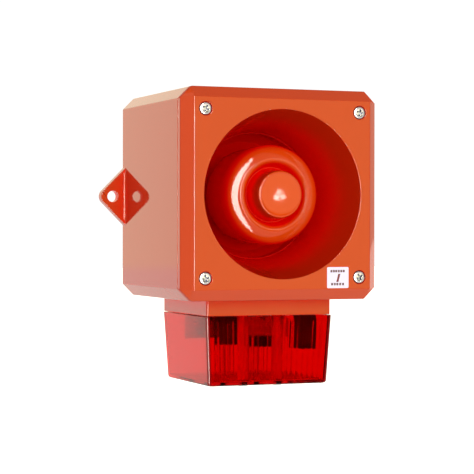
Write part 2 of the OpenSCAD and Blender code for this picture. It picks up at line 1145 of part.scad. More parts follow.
module voice_coil() {
    color("#b06a2c")
    stand_up()
        translate([0, 0, 54.5])
            tube(coil_out, coil_in, 7);
}

// Twin wire from the driver, past its yoke, to its plug on the main board.
module driver_lead() {
    color("#303030")
    stand_up()
        for (side = [-1.25, 1.25])
            translate([horn_socket_at[0] + side, horn_socket_at[1], board_top + 13])
                cylinder(r = lead_r, h = top_plate_z - board_top - 13);
}

// ---- Lens, screwed up from below ----

// Slab with two leaning sides, hanging down from z = 0.
module lens_slab(a, b, lean, h) {
    rotate([90, 0, 0])
        translate([0, 0, -box_w])
            linear_extrude(2 * box_w)
                polygon([[a, 0], [b, 0], [b - lean, h], [a + lean, h]]);
}

module lens_block(inset, h) {
    lean = lens_taper * h / lens_h;
    across = lens_half - inset;
    deep = (lens_front - lens_back) / 2 - inset;
    corner = (across + deep) / sqrt(2) - 1.5;
    translate([0, (lens_back + lens_front) / 2, 0])
        intersection() {
            lens_slab(-across, across, lean, h);
            rotate(90)
                lens_slab(-deep, deep, lean, h);
            rotate(45)
                lens_slab(-corner, corner, lean * sqrt(2), h);
            rotate(135)
                lens_slab(-corner, corner, lean * sqrt(2), h);
        }
}

rib_count = floor(2 * (lens_half - lens_wall - 6) / rib_pitch);
rib_depth = 1;

module lens_ribs() {
    front_inside = lens_front - lens_wall;
    for (i = [0:rib_count - 1])
        translate([(i - (rib_count - 1) / 2) * rib_pitch, front_inside, 2])
            rotate([atan(lens_taper / lens_h), 0, 0])
                translate([-0.7, -rib_depth, 0])
                    cube([1.4, rib_depth + 0.6, lens_h - 8]);
}

module beacon_lens() {
    color("#c01010", 0.6)
    below_box()
        translate([0, 0, lens_top])
            difference() {
                union() {
                    difference() {
                        lens_block(0, lens_h);
                        translate([0, 0, -eps])
                            lens_block(lens_wall, lens_h - lens_wall);
                    }
                    intersection() {
                        lens_ribs();
                        lens_block(1, lens_h - 1);
                    }
                }
                at_lens_screws()
                    translate([0, 0, lens_h - lens_wall - 1])
                        cylinder(r = lens_screw_r + 0.25, h = lens_wall + 3);
                at_lens_screws()
                    translate([0, 0, lens_h - lens_head_sink])
                        cylinder(r = lens_head_r + 0.4, h = 3);
            }
}

module lens_gasket() {
    color(dark)
    below_box()
        lens_gasket_ring();
}

module lens_screws() {
    color(steel)
    below_box()
        at_lens_screws()
            translate([0, 0, lens_bottom - lens_head_sink + seal_t])
                pan_screw(lens_screw_r, lens_screw_l, lens_head_r, 2.4);
}

module lens_screw_seals() {
    color(dark)
    below_box()
        at_lens_screws()
            translate([0, 0, lens_bottom - lens_head_sink])
                tube(lens_head_r - 0.3, lens_screw_r + fit, seal_t);
}

// ---- Build ----

base_housing();
threaded_inserts();
cover_gasket();
stopping_plug();
stopping_plug_seal();
circuit_board();
board_screws();
terminal_block();
terminal_screws();
tone_switch_body();
volume_control_body();
filter_capacitors();
step_up_transformer();
driver_transistors();
horn_socket();
beacon_socket();
beacon_plug();
beacon_lead();
beacon_housing();
beacon_gasket();
beacon_housing_screws();
beacon_board();
beacon_board_screws();
flash_capacitor();
trigger_coil();
xenon_tube();
tube_sleeve();
tube_electrodes();
beacon_reflector();
front_cover();
cover_screws();
cover_label();
horn_bowl();
horn_gasket();
horn_flange_screws();
horn_bell();
bell_screws();
driver_ring();
driver_top_plate();
driver_magnet();
driver_yoke();
driver_screws();
driver_lead();
horn_plug();
diaphragm_surround();
diaphragm();
voice_coil();
beacon_lens();
lens_gasket();
lens_screws();
lens_screw_seals();
volume_knob();
tone_slider(1);  // tone_slider_1
tone_slider(2);  // tone_slider_2
tone_slider(3);  // tone_slider_3
tone_slider(4);  // tone_slider_4
tone_slider(5);  // tone_slider_5
tone_slider(6);  // tone_slider_6
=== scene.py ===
"""Looks for the wall-mounted horn strobe.

Sizes are in millimetres. A point on the unit is (x, up, out): out is its distance from the wall.
A point on the beacon is (x, out, drop): drop is its distance below the enclosure.
"""

import json
import math

import bmesh
import bpy
from mathutils import Matrix, Vector


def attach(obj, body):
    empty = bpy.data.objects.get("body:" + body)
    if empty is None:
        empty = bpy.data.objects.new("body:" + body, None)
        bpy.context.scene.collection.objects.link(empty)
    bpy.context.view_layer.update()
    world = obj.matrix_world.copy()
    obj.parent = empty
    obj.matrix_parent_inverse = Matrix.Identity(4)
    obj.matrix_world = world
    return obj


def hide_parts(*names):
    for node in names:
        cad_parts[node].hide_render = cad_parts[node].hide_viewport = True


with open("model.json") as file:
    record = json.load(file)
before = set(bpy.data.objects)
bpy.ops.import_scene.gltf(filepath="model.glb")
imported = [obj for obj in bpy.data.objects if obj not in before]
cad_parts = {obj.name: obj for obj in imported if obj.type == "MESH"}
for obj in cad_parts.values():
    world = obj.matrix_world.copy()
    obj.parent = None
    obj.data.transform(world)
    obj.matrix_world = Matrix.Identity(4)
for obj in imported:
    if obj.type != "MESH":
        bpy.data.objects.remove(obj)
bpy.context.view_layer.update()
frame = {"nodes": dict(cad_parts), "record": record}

MM = 0.001
HALF_BOX = 82.5
FRONT_FACE = 150.5
LABEL_AT = (46, -65)
LABEL_SIZE = (18.5, 16.5)
SCREW_AT = 64.8
LENS_TOP = 13.1
LENS_HEIGHT = 54.8
LENS_HALF = 53.9
LENS_WALL = 2.6
LENS_LEAN = 3.0
LENS_BACK = 21.5
LENS_FRONT = 122.7
LENS_SCREWS_AT = ((-14.9, 41.2), (-14.9, 102), (14.9, 41.2), (14.9, 102))
HEAD_SEAT = 2.2
HEAD_SINK = 1.2
SEAL = 0.8
LUG_THICKNESS = 8
COVER_SCREW = {"head_r": 4.9, "head_h": 2.8, "shank_r": 2.5, "length": 25}
COVER_SCREW_TURNS = (12, 64, 31, 78)
LENS_SCREW = {"head_r": 4.5, "head_h": 2.4, "shank_r": 2, "length": 14}
LENS_SCREW_FIRST_TURN = 20
LENS_SCREW_TURN_STEP = 25


# ---- Shapes ----


def on_unit(x, up, out):
    return Vector((x * MM, -out * MM, up * MM))


def on_beacon(x, out, drop):
    return Vector((x * MM, -out * MM, (-HALF_BOX - drop) * MM))


def make_object(name, bm, body, replaced=()):
    """Turns a bmesh into a smooth-shaded piece that rides on a CAD body."""
    bmesh.ops.recalc_face_normals(bm, faces=bm.faces)
    mesh = bpy.data.meshes.new(name)
    bm.to_mesh(mesh)
    bm.free()
    mesh.polygons.foreach_set("use_smooth", [True] * len(mesh.polygons))
    piece = bpy.data.objects.new(name, mesh)
    bpy.context.scene.collection.objects.link(piece)
    if body:
        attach(piece, body)
    if replaced:
        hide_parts(*replaced)
    return piece


def bridge(bm, lower, upper):
    """Band of faces between two rings of equally many corners."""
    for i in range(len(lower)):
        j = (i + 1) % len(lower)
        bm.faces.new((lower[i], lower[j], upper[j], upper[i]))


def extruded(outline, low, high, place=on_unit):
    """Prism over a closed outline of (a, b) points, from low to high."""
    bm = bmesh.new()
    bottom = [bm.verts.new(place(a, b, low)) for a, b in outline]
    top = [bm.verts.new(place(a, b, high)) for a, b in outline]
    bm.faces.new(list(reversed(bottom)))
    bm.faces.new(top)
    bridge(bm, bottom, top)
    return bm


def lathed(profile, place=on_unit, centre=(0, 0), segments=128):
    """Solid of revolution from (radius, height) points; a radius of 0 closes it on its axis."""
    bm = bmesh.new()
    rings = []
    for radius, height in profile:
        count = segments if radius > 0 else 1
        ring = []
        for i in range(count):
            turn = 2 * math.pi * i / count
            a = centre[0] + radius * math.cos(turn)
            b = centre[1] + radius * math.sin(turn)
            ring.append(bm.verts.new(place(a, b, height)))
        rings.append(ring)
    pairs = list(zip(rings, rings[1:]))
    if profile[0][0] > 0 and profile[-1][0] > 0:
        pairs.append((rings[-1], rings[0]))
    for lower, upper in pairs:
        for i in range(segments):
            j = (i + 1) % segments
            corners = [lower[i % len(lower)], lower[j % len(lower)]]
            corners += [upper[j % len(upper)], upper[i % len(upper)]]
            bm.faces.new(list(dict.fromkeys(corners)))
    return bm


def curve_through(points, steps=6):
    """More points on a smooth curve through these, by Catmull-Rom interpolation."""
    dense = []
    last = len(points) - 1
    for i in range(last):
        before, start = points[max(i - 1, 0)], points[i]
        end, after = points[i + 1], points[min(i + 2, last)]
        for step in range(steps):
            t = step / steps
            weights = (
                -0.5 * t + t * t - 0.5 * t**3,
                1 - 2.5 * t * t + 1.5 * t**3,
                0.5 * t + 2 * t * t - 1.5 * t**3,
                -0.5 * t * t + 0.5 * t**3,
            )
            around = (before, start, end, after)
            dense.append(tuple(sum(w * p[k] for w, p in zip(weights, around)) for k in (0, 1)))
    dense.append(points[-1])
    return dense


def rounded_rectangle(left, low, right, high, radius, steps=8):
    """Outline of (a, b) points, counter-clockwise from the right end of the low side."""
    corners = ((right, low, -90), (right, high, 0), (left, high, 90), (left, low, 180))
    outline = []
    for a, b, start in corners:
        centre_a = a - math.copysign(radius, a - (left + right) / 2)
        centre_b = b - math.copysign(radius, b - (low + high) / 2)
        for step in range(steps + 1):
            turn = math.radians(start + 90 * step / steps)
            outline.append((centre_a + radius * math.cos(turn), centre_b + radius * math.sin(turn)))
    return outline


def lofted(rings):
    """Closed skin over rings of equally many points in space."""
    bm = bmesh.new()
    made = [[bm.verts.new(point) for point in ring] for ring in rings]
    for lower, upper in zip(made, made[1:]):
        bridge(bm, lower, upper)
    bm.faces.new(list(reversed(made[0])))
    bm.faces.new(made[-1])
    return bm


def combine(piece, tools, operation):
    """Adds, cuts or intersects solids, then drops the tools."""
    for tool in tools:
        modifier = piece.modifiers.new("combine", "BOOLEAN")
        modifier.operation = operation
        modifier.solver = "EXACT"
        modifier.object = tool
    bpy.context.view_layer.update()
    shape = piece.evaluated_get(bpy.context.evaluated_depsgraph_get())
    finished = bpy.data.meshes.new_from_object(shape)
    piece.modifiers.clear()
    piece.data = finished
    for tool in tools:
        bpy.data.objects.remove(tool)


def flatten_shading(piece):
    """Keeps large faces flat and lets only the small faces at their edges shade round."""
    even = piece.modifiers.new("even", "WEIGHTED_NORMAL")
    even.weight = 100
    even.thresh = 0.01


def soften(piece, *rounds):
    """Rounds sharp edges, merging the triangles of flat faces first.

    Each round is (sharper than this angle, width, segments).
    """
    weld = piece.modifiers.new("weld", "WELD")
    weld.merge_threshold = 0.00001
    flatten = piece.modifiers.new("flatten", "DECIMATE")
    flatten.decimate_type = "DISSOLVE"
    flatten.angle_limit = math.radians(0.4)
    for angle, width, segments in rounds:
        bevel = piece.modifiers.new("round", "BEVEL")
        bevel.limit_method = "ANGLE"
        bevel.angle_limit = math.radians(angle)
        bevel.width = width * MM
        bevel.segments = segments
        bevel.use_clamp_overlap = False
    piece.data.polygons.foreach_set("use_smooth", [True] * len(piece.data.polygons))
    flatten_shading(piece)


# ---- Materials ----


class Nodes:
    """Short way to add and wire shader nodes."""

    def __init__(self, name):
        self.material = bpy.data.materials.new(name)
        self.material.use_nodes = True
        self.tree = self.material.node_tree
        self.shader = self.tree.nodes["Principled BSDF"]
        self.place = self.add("ShaderNodeTexCoord").outputs["Object"]

    def add(self, kind, **inputs):
        made = self.tree.nodes.new(kind)
        for name, value in inputs.items():
            made.inputs[name.replace("_", " ")].default_value = value
        return made

    def wire(self, output, target):
        self.tree.links.new(output, target)

    def drive(self, name, output):
        """Wires an output to one of the shader's own sockets."""
        self.wire(output, self.shader.inputs[name])

    def noise(self, size, detail=3.0, stretch=(1, 1, 1)):
        """Noise whose features are about size millimetres across."""
        mapping = self.add("ShaderNodeMapping")
        mapping.inputs["Scale"].default_value = stretch
        self.wire(self.place, mapping.inputs["Vector"])
        texture = self.add("ShaderNodeTexNoise", Scale=1 / (size * MM), Detail=detail, Roughness=0.55)
        self.wire(mapping.outputs["Vector"], texture.inputs["Vector"])
        return texture.outputs["Fac"]

    def between(self, factor, low, high):
        """Spreads the middle of a noise, where most of it lies, from low to high."""
        made = self.add("ShaderNodeMapRange")
        made.inputs["From Min"].default_value = 0.3
        made.inputs["From Max"].default_value = 0.7
        made.inputs["To Min"].default_value = low
        made.inputs["To Max"].default_value = high
        self.wire(factor, made.inputs["Value"])
        return made.outputs["Result"]

    def blend(self, factor, first, second):
        made = self.tree.nodes.new("ShaderNodeMix")
        made.data_type = "RGBA"
        colour_inputs = [s for s in made.inputs if s.type == "RGBA"]
        for socket, value in zip(colour_inputs, (first, second)):
            if isinstance(value, tuple):
                socket.default_value = (*value, 1)
            else:
                self.wire(value, socket)
        self.wire(factor, made.inputs["Factor"])
        return next(s for s in made.outputs if s.type == "RGBA")

    def bumps(self, *layers):
        """Adds bump layers of (height output, depth in millimetres)."""
        normal = None
        for height, depth in layers:
            bump = self.add("ShaderNodeBump", Distance=depth * MM, Strength=1.0)
            self.wire(height, bump.inputs["Height"])
            if normal:
                self.wire(normal, bump.inputs["Normal"])
            normal = bump.outputs["Normal"]
        self.drive("Normal", normal)

    def edges(self, radius=0.8):
        """Mask that is bright along worn edges."""
        bevel = self.add("ShaderNodeBevel", Radius=radius * MM)
        bevel.samples = 4
        geometry = self.add("ShaderNodeNewGeometry")
        dot = self.add("ShaderNodeVectorMath")
        dot.operation = "DOT_PRODUCT"
        self.wire(bevel.outputs["Normal"], dot.inputs[0])
        self.wire(geometry.outputs["Normal"], dot.inputs[1])
        made = self.add("ShaderNodeMapRange")
        made.inputs["From Min"].default_value = 0.995
        made.inputs["From Max"].default_value = 0.90
        self.wire(dot.outputs["Value"], made.inputs["Value"])
        return made.outputs["Result"]

    def ramp(self, output, start, end, low=0.0, high=1.0):
        """Low up to start and high from end on, with an even change between."""
        made = self.add("ShaderNodeMapRange")
        for name, value in (("From Min", start), ("From Max", end), ("To Min", low), ("To Max", high)):
            made.inputs[name].default_value = value
        self.wire(output, made.inputs["Value"])
        return made.outputs["Result"]

    def calculate(self, operation, *values):
        made = self.add("ShaderNodeMath")
        made.operation = operation
        for socket, value in zip(made.inputs, values):
            if isinstance(value, float):
                socket.default_value = value
            else:
                self.wire(value, socket)
        return made.outputs["Value"]

    def openness(self, reach, closed, opened):
        """Mask that is 1 on open faces and 0 in recesses, looking reach millimetres around."""
        occlusion = self.add("ShaderNodeAmbientOcclusion", Distance=reach * MM)
        occlusion.samples = 8
        return self.ramp(occlusion.outputs["AO"], closed, opened)

    def front_facing(self):
        """Mask that is 1 on faces turned away from the wall."""
        turned = self.add("ShaderNodeSeparateXYZ")
        self.wire(self.add("ShaderNodeNewGeometry").outputs["Normal"], turned.inputs["Vector"])
        return self.ramp(turned.outputs["Y"], -0.35, -0.7)


def shade(colour, factor):
    return tuple(min(1.0, c * factor) for c in colour)


def moulded_plastic(
    name, colour, roughness=0.3, variation=0.04, peel=0.004, worn=0.06, gloss=0.5,
    shaded_faces=None, shade_in_lens=None,
):
    """Injection-moulded plastic: faint flow mottling, orange peel, and slightly lighter edges.

    The colours of open side faces and of recesses, where they differ from faces turned to the front, are
    painted
    shade: darker on the sides, and a deeper red in recesses for their shade and red bounce light. The colour
    of what stands inside the lens is painted shade too. Both are matched to the photograph, not different
    plastics.
    """
    nodes = Nodes(name)
    plastic_colour = nodes.blend(nodes.noise(28), shade(colour, 1 - variation), shade(colour, 1 + variation))
    lighter = tuple(min(1.0, c + worn * (1 - c)) for c in colour)
    edge = nodes.edges()
    nodes.shader.inputs["Specular IOR Level"].default_value = gloss
    if shaded_faces:
        # Painted shade: a darker red on open side faces and a deeper red in recesses.
        side, recess = shaded_faces
        side_shaded_colour = nodes.blend(nodes.front_facing(), side, plastic_colour)
        openness = nodes.openness(RECESS_REACH, 0.38, 0.72)
        plastic_colour = nodes.blend(openness, recess, side_shaded_colour)
        nodes.drive("Specular IOR Level", nodes.ramp(openness, 0, 1, RECESS_GLOSS, gloss))
    worn_and_shaded_colour = nodes.blend(nodes.between(edge, 0.0, 0.5), plastic_colour, lighter)
    # Painted shade: parts that stand inside the lens get a darker red.
    if shade_in_lens:
        spot = nodes.add("ShaderNodeSeparateXYZ")
        nodes.wire(nodes.place, spot.inputs["Vector"])
        lens_rim = HALF_BOX + LENS_TOP
        inside = nodes.ramp(spot.outputs["Z"], -lens_rim * MM, -(lens_rim + 1) * MM)
        worn_and_shaded_colour = nodes.blend(inside, worn_and_shaded_colour, shade_in_lens)
    nodes.drive("Base Color", worn_and_shaded_colour)
    nodes.drive("Roughness", nodes.between(nodes.noise(14), roughness * 0.85, roughness * 1.15))
    nodes.bumps((nodes.noise(1.6), peel), (nodes.noise(11), peel * 3))
    nodes.shader.inputs["IOR"].default_value = 1.5
    return nodes.material


def metal(name, colour, roughness=0.3, stretch=(1, 1, 1), grain=0.6, recess_shade=None):
    """Plated or drawn metal with fine marks, dulling in patches and, if wanted, painted shade in its
    recesses.
    """
    nodes = Nodes(name)
    patchy_and_shaded = nodes.blend(nodes.noise(4), shade(colour, 0.88), shade(colour, 1.05))
    if recess_shade:
        # Painted shade: a dark bluish colour in recesses, such as a screw's cross.
        patchy_and_shaded = nodes.blend(nodes.openness(2, 0.3, 0.8), recess_shade, patchy_and_shaded)
    nodes.drive("Base Color", patchy_and_shaded)
    nodes.shader.inputs["Metallic"].default_value = 1.0
    nodes.drive("Roughness", nodes.between(nodes.noise(2.5), roughness * 0.75, roughness * 1.3))
    nodes.bumps((nodes.noise(grain, stretch=stretch), 0.003))
    return nodes.material


def rubber(name, colour):
    """Foam rubber with open pores."""
    nodes = Nodes(name)
    nodes.drive("Base Color", nodes.blend(nodes.noise(3), shade(colour, 0.7), shade(colour, 1.4)))
    nodes.shader.inputs["Roughness"].default_value = 0.85
    nodes.bumps((nodes.noise(0.5, detail=5), 0.06))
    return nodes.material


def glowing_film(name, colour):
    """White printing film with a faint blue glow, painted light that makes it look whiter."""
    nodes = Nodes(name)
    nodes.drive("Base Color", nodes.blend(nodes.noise(3), shade(colour, 0.99), colour))
    nodes.shader.inputs["Roughness"].default_value = 0.35
    # Painted light: the film glows though it is no lamp.
    nodes.shader.inputs["Emission Color"].default_value = (0.35, 0.25, 1.0, 1)
    nodes.shader.inputs["Emission Strength"].default_value = 0.22
    nodes.bumps((nodes.noise(1.6), 0.001))
    return nodes.material


def circuit_laminate(name):
    """Green solder mask over raised tracks."""
    nodes = Nodes(name)
    tracks = nodes.add("ShaderNodeTexBrick", Scale=95.0, Mortar_Size=0.035, Mortar_Smooth=0.1)
    tracks.inputs["Color1"].default_value = (0, 0, 0, 1)
    tracks.inputs["Color2"].default_value = (0, 0, 0, 1)
    tracks.inputs["Mortar"].default_value = (1, 1, 1, 1)
    turned = nodes.add("ShaderNodeMapping")
    turned.inputs["Rotation"].default_value = (math.pi / 2, 0, 0)
    nodes.wire(nodes.place, turned.inputs["Vector"])
    nodes.wire(turned.outputs["Vector"], tracks.inputs["Vector"])
    mask = nodes.blend(nodes.noise(6), (0.010, 0.085, 0.030), (0.016, 0.115, 0.042))
    nodes.drive("Base Color", nodes.blend(tracks.outputs["Color"], mask, (0.035, 0.21, 0.075)))
    nodes.shader.inputs["Roughness"].default_value = 0.28
    nodes.bumps((tracks.outputs["Color"], 0.03), (nodes.noise(0.7), 0.01))
    return nodes.material


def clear_red(name):
    """Clear red lens plastic, darker and less clear along its upright corners to match the photograph; that
    darkening is painted shade.
    """
    nodes = Nodes(name)
    spot = nodes.add("ShaderNodeSeparateXYZ")
    nodes.wire(nodes.place, spot.inputs["Vector"])
    lean = nodes.calculate("MULTIPLY", spot.outputs["Z"], LENS_LEAN / LENS_HEIGHT)
    outward = nodes.calculate("SUBTRACT", nodes.calculate("ABSOLUTE", spot.outputs["X"]), lean)
    side_at = LENS_HALF + (HALF_BOX + LENS_TOP) * LENS_LEAN / LENS_HEIGHT
    corner_from = side_at - LENS_WALL
    turned = nodes.add("ShaderNodeSeparateXYZ")
    nodes.wire(nodes.add("ShaderNodeNewGeometry").outputs["Normal"], turned.inputs["Vector"])
    forward = nodes.ramp(nodes.calculate("ABSOLUTE", turned.outputs["Y"]), 0.15, 0.35)
    sideways = nodes.ramp(nodes.calculate("ABSOLUTE", turned.outputs["X"]), 0.15, 0.35)
    near_side = nodes.ramp(outward, (corner_from - 0.6) * MM, corner_from * MM)
    edge = nodes.calculate("MULTIPLY", near_side, forward)
    # Painted shade: the upright corners are darker and less clear; a coat there catches the lights.
    nodes.drive("Base Color", nodes.blend(edge, (0.66, 0.002, 0.002), (0.30, 0.004, 0.006)))
    nodes.drive("Transmission Weight", nodes.ramp(edge, 0, 1, 1.0, 0.3))
    nodes.drive("Coat Weight", nodes.calculate("MULTIPLY", edge, sideways))
    nodes.shader.inputs["Coat Roughness"].default_value = 0.05
    nodes.shader.inputs["IOR"].default_value = 1.25
    nodes.shader.inputs["Specular Tint"].default_value = (0.1, 0.1, 0.1, 1)
    nodes.drive("Roughness", nodes.between(nodes.noise(9), 0.09, 0.13))
    nodes.bumps((nodes.noise(14), 0.01))
    return nodes.material


def clear_glass(name):
    nodes = Nodes(name)
    nodes.shader.inputs["Base Color"].default_value = (0.95, 0.97, 0.98, 1)
    nodes.shader.inputs["Transmission Weight"].default_value = 1.0
    nodes.shader.inputs["IOR"].default_value = 1.47
    nodes.drive("Roughness", nodes.between(nodes.noise(3), 0.01, 0.05))
    nodes.bumps((nodes.noise(4), 0.01))
    return nodes.material


def woven_cloth(name, colour):
    """Resin-treated cloth with its weave."""
    nodes = Nodes(name)
    weave = nodes.add("ShaderNodeTexWave", Scale=500.0, Distortion=0.4)
    nodes.wire(nodes.place, weave.inputs["Vector"])
    nodes.drive("Base Color", nodes.blend(weave.outputs["Fac"], shade(colour, 0.7), colour))
    nodes.shader.inputs["Roughness"].default_value = 0.6
    nodes.bumps((weave.outputs["Fac"], 0.05))
    return nodes.material


RED = (0.68, 0.060, 0.001)
# Painted light: a lighter copy of the red for the bell, which sits deep in the horn.
BELL_LIT_RED = (0.80, 0.070, 0.002)
# Painted shade: a darker red for open side faces, and a deeper red for the shade and red bounce light in
# recesses.
SIDE_SHADE_RED = (0.43, 0.015, 0.001)
RECESS_SHADE_RED = (0.90, 0.002, 0.0005)
SHADE_REDS = (SIDE_SHADE_RED, RECESS_SHADE_RED)
RECESS_REACH = 40
RECESS_GLOSS = 0.05
# Painted shade: the horn bowl's deep red stands in for the shade and red bounce light inside the horn.
HORN_SHADE_RED = (0.95, 0.002, 0.0005)
# Painted shade: the darker red of the parts inside the lens.
PILLAR_SHADE_RED = (0.50, 0.003, 0.002)
MATERIALS = {
    "red_plastic": moulded_plastic(
        "gloss_red", RED, 0.05, 0.02, gloss=0.4, shaded_faces=SHADE_REDS, shade_in_lens=PILLAR_SHADE_RED
    ),
    "bell_plastic": moulded_plastic("bell_red", BELL_LIT_RED, 0.05, 0.02, gloss=0.4, shaded_faces=SHADE_REDS),
    "horn_plastic": moulded_plastic("horn_red", HORN_SHADE_RED, 0.4, 0.02, gloss=0.0),
    "red_lens": clear_red("lens_red"),
    "seal_rubber": rubber("foam_seal", (0.02, 0.02, 0.022)),
    "black_plastic": moulded_plastic("black_nylon", (0.02, 0.02, 0.022), 0.45),
    "white_plastic": moulded_plastic("white_acetal", (0.80, 0.79, 0.74), 0.35),
    "cream_plastic": moulded_plastic("cream_nylon", (0.72, 0.66, 0.50), 0.42),
    "green_plastic": moulded_plastic("terminal_green", (0.03, 0.24, 0.07), 0.38),
    "blue_plastic": moulded_plastic("control_blue", (0.02, 0.09, 0.42), 0.35),
    "switch_plastic": moulded_plastic("switch_red", (0.42, 0.02, 0.02), 0.35),
    "capacitor_sleeve": moulded_plastic("sleeve_blue", (0.012, 0.022, 0.11), 0.22),
    "board_laminate": circuit_laminate("solder_mask"),
    "phenolic_cloth": woven_cloth("surround_cloth", (0.30, 0.16, 0.06)),
    "brass": metal("turned_brass", (0.72, 0.50, 0.18), 0.28),
    # The stainless steel's recess colour is painted shade.
    "stainless": metal("stainless_steel", (0.66, 0.66, 0.68), 0.27, recess_shade=(0.08, 0.10, 0.20)),
    "zinc_steel": metal("zinc_plate", (0.60, 0.61, 0.63), 0.32),
    "reflector_metal": metal("reflector_sheet", (0.86, 0.86, 0.86), 0.3),
    "foil_metal": metal("diaphragm_foil", (0.76, 0.77, 0.79), 0.22),
    "copper_wire": metal("coil_copper", (0.70, 0.30, 0.12), 0.3, stretch=(0.05, 1, 0.05), grain=0.4),
    "ferrite": moulded_plastic("sintered_ferrite", (0.035, 0.035, 0.037), 0.6, peel=0.02),
    "tube_glass": clear_glass("flash_tube_glass"),
    "label_film": glowing_film("label_film", (0.93, 0.92, 0.98)),
    "grey_ink": moulded_plastic("grey_ink", (0.16, 0.06, 0.08), 0.5, peel=0.001, worn=0),
    "red_ink": moulded_plastic("red_ink", (0.22, 0.01, 0.015), 0.5, peel=0.001, worn=0),
    "red_wire": moulded_plastic("wire_red", (0.40, 0.01, 0.01), 0.4),
    "black_wire": moulded_plastic("wire_black", (0.015, 0.015, 0.016), 0.4),
}


def dress_cad_nodes():
    """Gives every CAD node its slot's material, except that the horn bowl has a duller red of its own, which
    is painted shade and red bounce light deep in the horn.
    """
    slots = {entry["node"]: entry["material_slot"] for entry in frame["record"]["subparts"]}
    for name, piece in frame["nodes"].items():
        piece.data.materials.clear()
        piece.data.materials.append(MATERIALS["horn_plastic" if name == "horn_bowl" else slots[name]])


# ---- Pieces ----


def finish_piece(piece, material):
    piece.data.materials.clear()
    piece.data.materials.append(MATERIALS[material])


BELL_DISC = ((0, 144.6), (5, 144.58), (10, 144.5), (14.5, 144.35), (16.8, 144.1), (18, 143.3), (18.6, 141.6))
BELL_VALLEY = (
    (18.8, 138.5), (19.1, 134), (19.6, 129.5), (20.4, 125.8), (21.4, 124.4), (22.3, 125.6), (23.2, 128.2),
    (24.4, 130.8), (25.9, 132.4), (27.4, 133.05), (28.8, 132.95),
)
BELL_SIDE = (
    (29.6, 132.6), (31, 131.95), (33, 130.9), (35, 129.7), (36.8, 128.3), (38.2, 126.6), (39.1, 124.6),
    (39.6, 122), (39.8, 118), (39.5, 112), (38.9, 100), (38.2, 82.2), (37.8, 81),
)
BELL_INSIDE = (
    (35.6, 81), (35.4, 82), (36.7, 118), (35.8, 122.6), (33.6, 126), (30, 128), (25, 127), (22, 124.2),
    (16.8, 124.8), (15.4, 128), (14.2, 139), (10, 140.6), (0, 141),
)
LEG_OFF_AXIS = 33.5
LEG_RADIUS = 3.2
LEG_BACK = 69
LEG_FRONT = 89
LENS_OUTER_CORNER = 2.2
LENS_INNER_CORNER = 0.9
LENS_HOLE_RADIUS = 2.25
LENS_HOLE_DEPTH = 6
LENS_HEAD_ROOM = 4.9
LENS_FLUTES = 20
FLUTE_STEPS = 8
FLUTE_DEPTH = 0.9
MARK_WIDTH = 1.6
MARK_HEIGHT = 1.9
INK_BACK = 0.16
INK_FRONT = 0.19


def make_bell():
    profile = curve_through(BELL_DISC + BELL_VALLEY + BELL_SIDE)
    profile += curve_through(BELL_INSIDE, steps=3)
    bell = make_object("bell_moulding", lathed(profile, segments=160), "cover", ["horn_bell"])
    legs = []
    for turn in (0, 120, 240):
        around = math.radians(turn)
        centre = (LEG_OFF_AXIS * math.cos(around), LEG_OFF_AXIS * math.sin(around))
        side = ((0, LEG_BACK), (LEG_RADIUS, LEG_BACK), (LEG_RADIUS, LEG_FRONT), (0, LEG_FRONT))
        legs.append(make_object("bell_leg", lathed(side, centre=centre, segments=32), None))
    combine(bell, legs, "UNION")
    finish_piece(bell, "bell_plastic")


def cross_recess(centre, out, width, length, depth, turn):
    """Cutters for a crossed screw recess that narrows as it goes in."""
    cutters = []
    for arm in (0, 90):
        rings = []
        for level, scale in ((out - depth, 0.6), (out + 0.5, 1.05)):
            half_l = length / 2 * scale
            half_w = width / 2 * (0.6 + 0.4 * scale)
            angle = math.radians(turn + arm)
            ring = []
            for a, b in ((-half_l, -half_w), (half_l, -half_w), (half_l, half_w), (-half_l, half_w)):
                x = centre[0] + a * math.cos(angle) - b * math.sin(angle)
                y = centre[1] + a * math.sin(angle) + b * math.cos(angle)
                ring.append((x, y, level))
            rings.append(ring)
        cutters.append(rings)
    return cutters


def pan_head(name, centre, under, place, head_r, head_h, shank_r, length, turn, body, replaced):
    """Pan-head screw whose head stands head_h above its underside; place says which way it points."""
    dome = [(head_r, under), (head_r, under + head_h * 0.42), (head_r * 0.965, under + head_h * 0.62)]
    dome += [(head_r * 0.86, under + head_h * 0.82), (head_r * 0.66, under + head_h * 0.95)]
    dome += [(head_r * 0.35, under + head_h), (0, under + head_h)]
    tip = [(0, under - length), (shank_r * 0.7, under - length), (shank_r, under - length + shank_r * 0.6)]
    profile = tip + [(shank_r, under), (head_r * 0.97, under)] + dome
    screw = make_object(name, lathed(profile, place, centre, segments=48), body, replaced)
    tools = []
    recess = cross_recess(centre, under + head_h, head_r * 0.3, head_r * 1.2, head_h * 0.7, turn)
    for rings in recess:
        placed = [[place(*point) for point in ring] for ring in rings]
        tools.append(make_object("recess", lofted(placed), None))
    combine(screw, tools, "DIFFERENCE")
    soften(screw, (40, 0.12, 2))
    finish_piece(screw, "stainless")


def make_screws():
    under = FRONT_FACE - HEAD_SEAT
    for i, (x, up) in enumerate(((-1, -1), (-1, 1), (1, -1), (1, 1))):
        centre = (x * SCREW_AT, up * SCREW_AT)
        ride = {"turn": COVER_SCREW_TURNS[i], "body": "cover", "replaced": ["cover_screws"] if i == 0 else []}
        pan_head(f"cover_screw_{i + 1}", centre, under, on_unit, **COVER_SCREW, **ride)
    under = LENS_TOP + LENS_HEIGHT - HEAD_SINK + SEAL
    for i, centre in enumerate(LENS_SCREWS_AT):
        turn = LENS_SCREW_FIRST_TURN + LENS_SCREW_TURN_STEP * i
        ride = {"turn": turn, "body": "lens", "replaced": ["lens_screws"] if i == 0 else []}
        pan_head(f"lens_screw_{i + 1}", centre, under, on_beacon, **LENS_SCREW, **ride)


